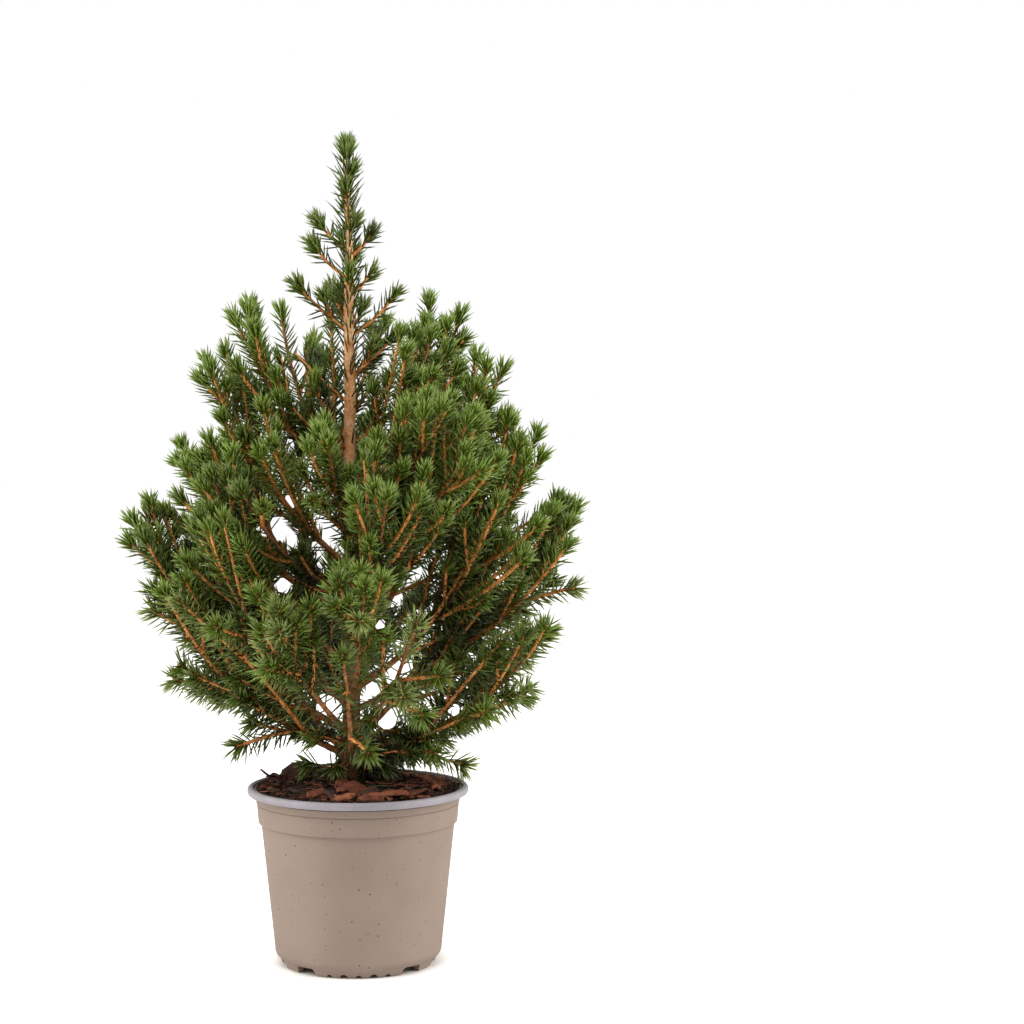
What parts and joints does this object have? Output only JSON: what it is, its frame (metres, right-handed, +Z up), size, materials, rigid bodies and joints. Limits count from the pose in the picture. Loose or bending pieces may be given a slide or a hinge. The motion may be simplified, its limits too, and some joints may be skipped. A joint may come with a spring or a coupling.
{
  "type": "potted alberta spruce",
  "caption": "Young dwarf spruce with a slim leader and upswept needled shoots, growing in a round plastic nursery pot.",
  "frame": {"origin": "on the floor under the middle of the pot", "axes": "+Z up along the trunk, -Y towards the front of the plant, +X to its right"},
  "size_m": [0.2729, 0.2489, 0.487],
  "materials": {
    "pot_plastic": "matte taupe moulded plastic",
    "potting_soil": "dark moist peat with bark chips",
    "bark": "flaky tan-brown bark",
    "needles": "fresh green needles, brighter at the tips"
  },
  "bodies": {
    "root": {"pot": "pot_plastic", "soil": "potting_soil", "trunk": "bark", "bough_right_low": "bark", "bough_left_low": "bark", "bough_back_left_low": "bark", "bough_left_long": "bark", "bough_back_right_low": "bark", "bough_front_left_low": "bark", "bough_front_skirt": "bark", "bough_front_right_low": "bark", "bough_back_low": "bark", "bough_right_long": "bark", "bough_left_side": "bark", "bough_right_upper": "bark", "bough_front_low": "bark", "bough_left_middle": "bark", "bough_back_right_high": "bark", "bough_back_left_high": "bark", "bough_left_upper": "bark", "bough_front_right": "bark", "bough_front_left": "bark", "bough_left_shoulder": "bark", "bough_right_shoulder": "bark", "mass_right_low": "needles", "mass_left_low": "needles", "mass_back_left_low": "needles", "mass_left_long": "needles", "mass_back_right_low": "needles", "mass_front_left_low": "needles", "mass_front_skirt": "needles", "mass_front_right_low": "needles", "mass_back_low": "needles", "mass_right_long": "needles", "mass_left_side": "needles", "mass_right_upper": "needles", "mass_front_low": "needles", "mass_left_middle": "needles", "mass_back_right_high": "needles", "mass_back_left_high": "needles", "mass_left_upper": "needles", "mass_front_right": "needles", "mass_front_left": "needles", "mass_left_shoulder": "needles", "mass_right_shoulder": "needles", "mass_front_right_high": "needles", "mass_right_crest": "needles", "mass_left_crest": "needles", "mass_right_inner": "needles", "mass_back_crest": "needles", "mass_right_skirt": "needles", "mass_front_high": "needles", "mass_front_crest": "needles", "mass_back_high": "needles", "mass_leader_front": "needles", "mass_spire_tip": "needles", "mass_spire_left": "needles", "mass_spire_right": "needles", "mass_spire_back": "needles"}
  },
  "joints": []
}
